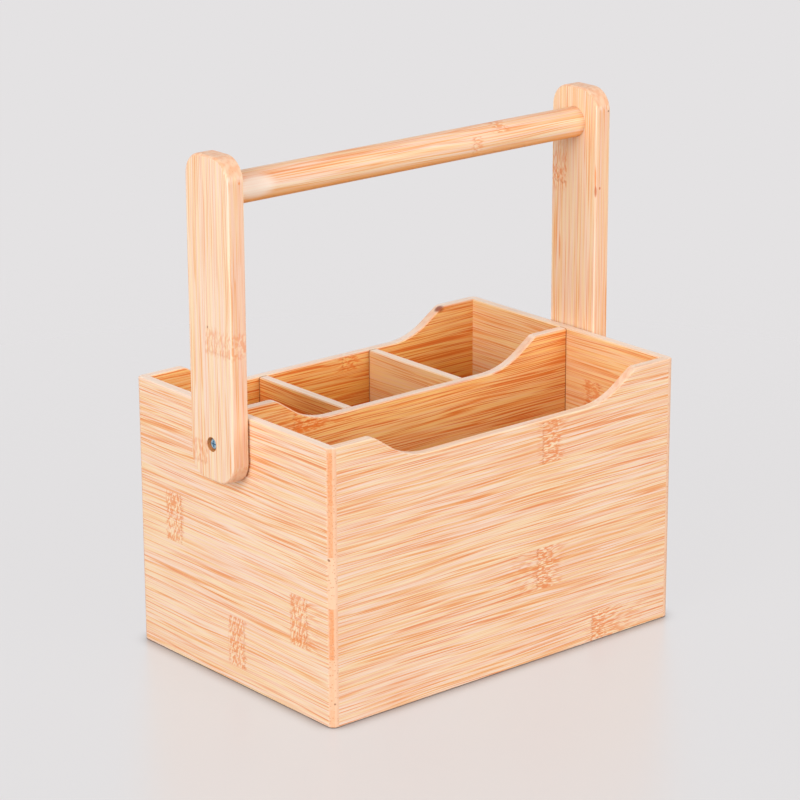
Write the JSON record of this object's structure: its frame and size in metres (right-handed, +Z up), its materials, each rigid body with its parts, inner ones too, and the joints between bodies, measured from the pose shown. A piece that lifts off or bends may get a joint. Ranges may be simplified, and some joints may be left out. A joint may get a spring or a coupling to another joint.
{
  "type": "utensil caddy",
  "caption": "Rectangular open bamboo box with scooped rims, one long and several short compartments, and a swinging carrying handle of flat arms joined by a round bar.",
  "frame": {"origin": "centre of the footprint, on the surface the caddy stands on", "axes": "+X along the box and the handle's bar, +Y to the back where the short cells are, +Z up"},
  "size_m": [0.2736, 0.171, 0.298],
  "materials": {
    "bamboo": "satin-lacquered natural bamboo",
    "zinc_steel": "bright zinc plate with a blue tint"
  },
  "bodies": {
    "box": {"front_panel": "bamboo", "back_panel": "bamboo", "left_end_panel": "bamboo", "right_end_panel": "bamboo", "bottom_panel": "bamboo", "middle_divider": "bamboo", "left_cross_divider": "bamboo", "right_cross_divider": "bamboo", "left_pivot_screw": "zinc_steel", "right_pivot_screw": "zinc_steel", "left_pivot_washer": "zinc_steel", "right_pivot_washer": "zinc_steel"},
    "handle": {"left_handle_arm": "bamboo", "right_handle_arm": "bamboo", "handle_bar": "bamboo"}
  },
  "joints": [
    {"name": "handle_swing", "type": "hinge", "parent": "box", "child": "handle", "pos_m": [0, 0, 0.14], "axis": [1, 0, 0], "range_deg": [-136.5, 136.5]}
  ]
}
